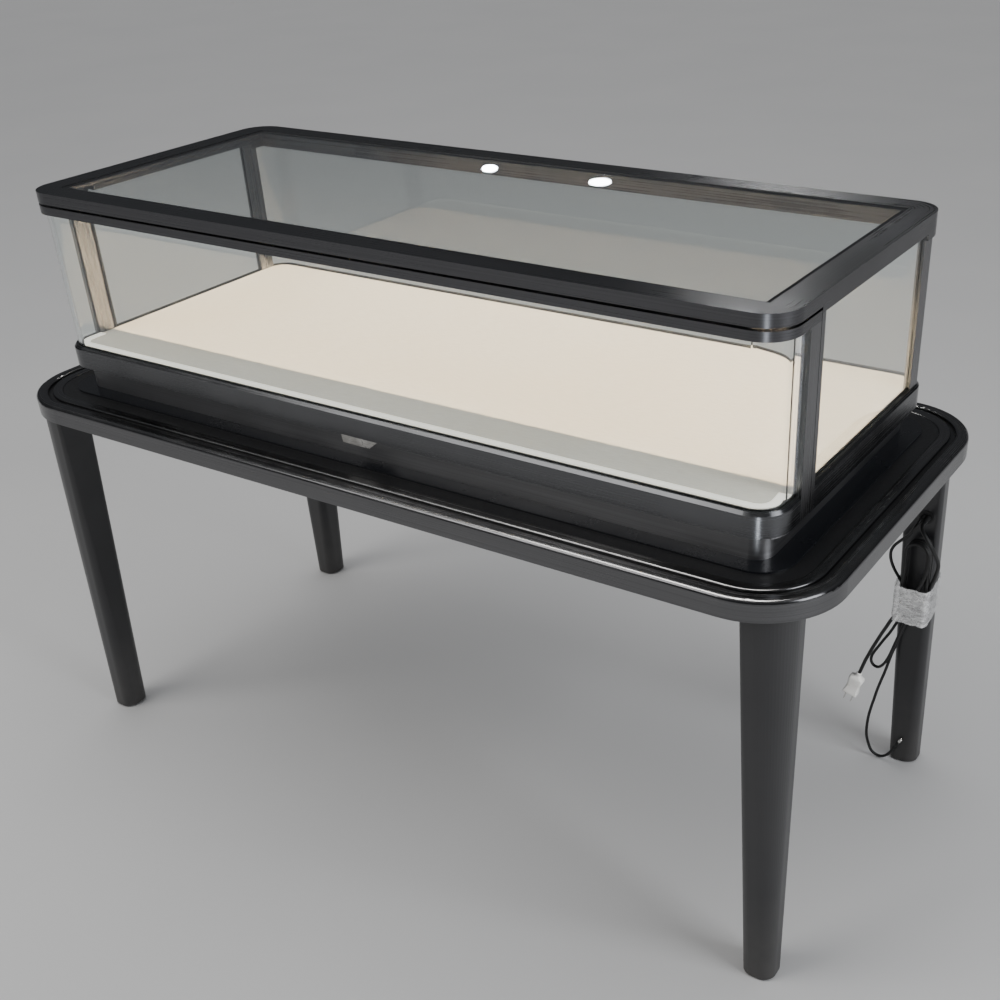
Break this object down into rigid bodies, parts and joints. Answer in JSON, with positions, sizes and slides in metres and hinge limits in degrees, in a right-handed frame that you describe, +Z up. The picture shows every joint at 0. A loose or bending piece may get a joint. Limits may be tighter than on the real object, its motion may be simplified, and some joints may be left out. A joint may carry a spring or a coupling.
{
  "type": "tabletop display case",
  "caption": "glazed display case with rounded corners on a four-leg table; the front pane and the lit deck slide out together as a drawer, with two leads wound on one leg",
  "frame": {"origin": "on the floor, under the centre of the table and the case", "axes": "+Z up, +X along the long side towards the leg that holds the leads, -Y is the front, which slides out"},
  "size_m": [1.432, 0.66, 0.95],
  "materials": {
    "dark_steel": "fine brushed, titanium-dark tint, satin",
    "bright_steel": "fine brushed along its length, brighter on the folds",
    "leg_coating": "satin powder coat",
    "zinc_steel": "zinc plated, plain",
    "gloss_black": "high gloss lacquer on board",
    "satin_black": "satin",
    "plywood": "raw plywood, hidden",
    "deck_lining": "cream lining sheet, fine texture",
    "clear_glass": "clear float glass, polished edges",
    "seal_rubber": "soft black seal strip",
    "light_alloy": "anodised, fine extrusion lines",
    "light_cover": "opal light cover",
    "cord_jacket": "black flexible cord jacket",
    "plug_white": "moulded white plastic",
    "plug_metal": "plated brass",
    "clear_film": "clear stretch film, wrinkled"
  },
  "bodies": {
    "root": {"table_edge": "bright_steel", "table_band": "bright_steel", "table_strip": "satin_black", "top_panel": "gloss_black", "table_core": "satin_black", "leg_front_left": "leg_coating", "leg_front_right": "leg_coating", "leg_rear_left": "leg_coating", "leg_rear_right": "leg_coating", "leg_plates": "zinc_steel", "leg_bolts": "zinc_steel", "foot_pads": "seal_rubber", "base_skirt": "dark_steel", "base_frame": "plywood", "base_plate": "dark_steel", "body_rail": "dark_steel", "body_seal": "seal_rubber", "front_post_left": "dark_steel", "front_post_right": "dark_steel", "rear_post_left": "dark_steel", "rear_post_right": "dark_steel", "top_frame": "dark_steel", "frame_seal": "seal_rubber", "top_glass": "clear_glass", "side_glass_left": "clear_glass", "side_glass_right": "clear_glass", "rear_glass": "clear_glass", "led_channel": "light_alloy", "led_diffuser": "light_cover", "led_driver": "plug_white", "runner_outer_left": "zinc_steel", "runner_outer_right": "zinc_steel", "cord_outlet": "seal_rubber", "mains_cord": "cord_jacket", "lead_cord": "cord_jacket", "cord_hank": "cord_jacket", "plug_cord": "cord_jacket", "fold_cord": "cord_jacket", "floor_cord": "cord_jacket", "mains_plug": "plug_white", "plug_pins": "plug_metal", "lead_connector": "plug_metal", "film_wrap": "clear_film"},
    "runner_middles": {"runner_middle_left": "zinc_steel", "runner_middle_right": "zinc_steel"},
    "drawer": {"front_rail": "bright_steel", "stile_left": "dark_steel", "stile_right": "dark_steel", "door_rail": "dark_steel", "front_seal": "seal_rubber", "front_glass": "clear_glass", "deck_board": "plywood", "deck_cover": "deck_lining", "deck_trim": "light_cover", "drawer_box": "plywood", "runner_inner_left": "zinc_steel", "runner_inner_right": "zinc_steel", "pull_tab": "light_alloy"}
  },
  "joints": [
    {"name": "drawer_slide", "type": "slide", "parent": "root", "child": "drawer", "axis": [0, -1, 0], "range_m": [0, 0.38]},
    {"name": "runner_slide", "type": "slide", "parent": "root", "child": "runner_middles", "axis": [0, -1, 0], "range_m": [0, 0.19]}
  ],
  "couplings": [
    {"joint": "runner_slide", "follows": "drawer_slide", "ratio": 0.5}
  ]
}
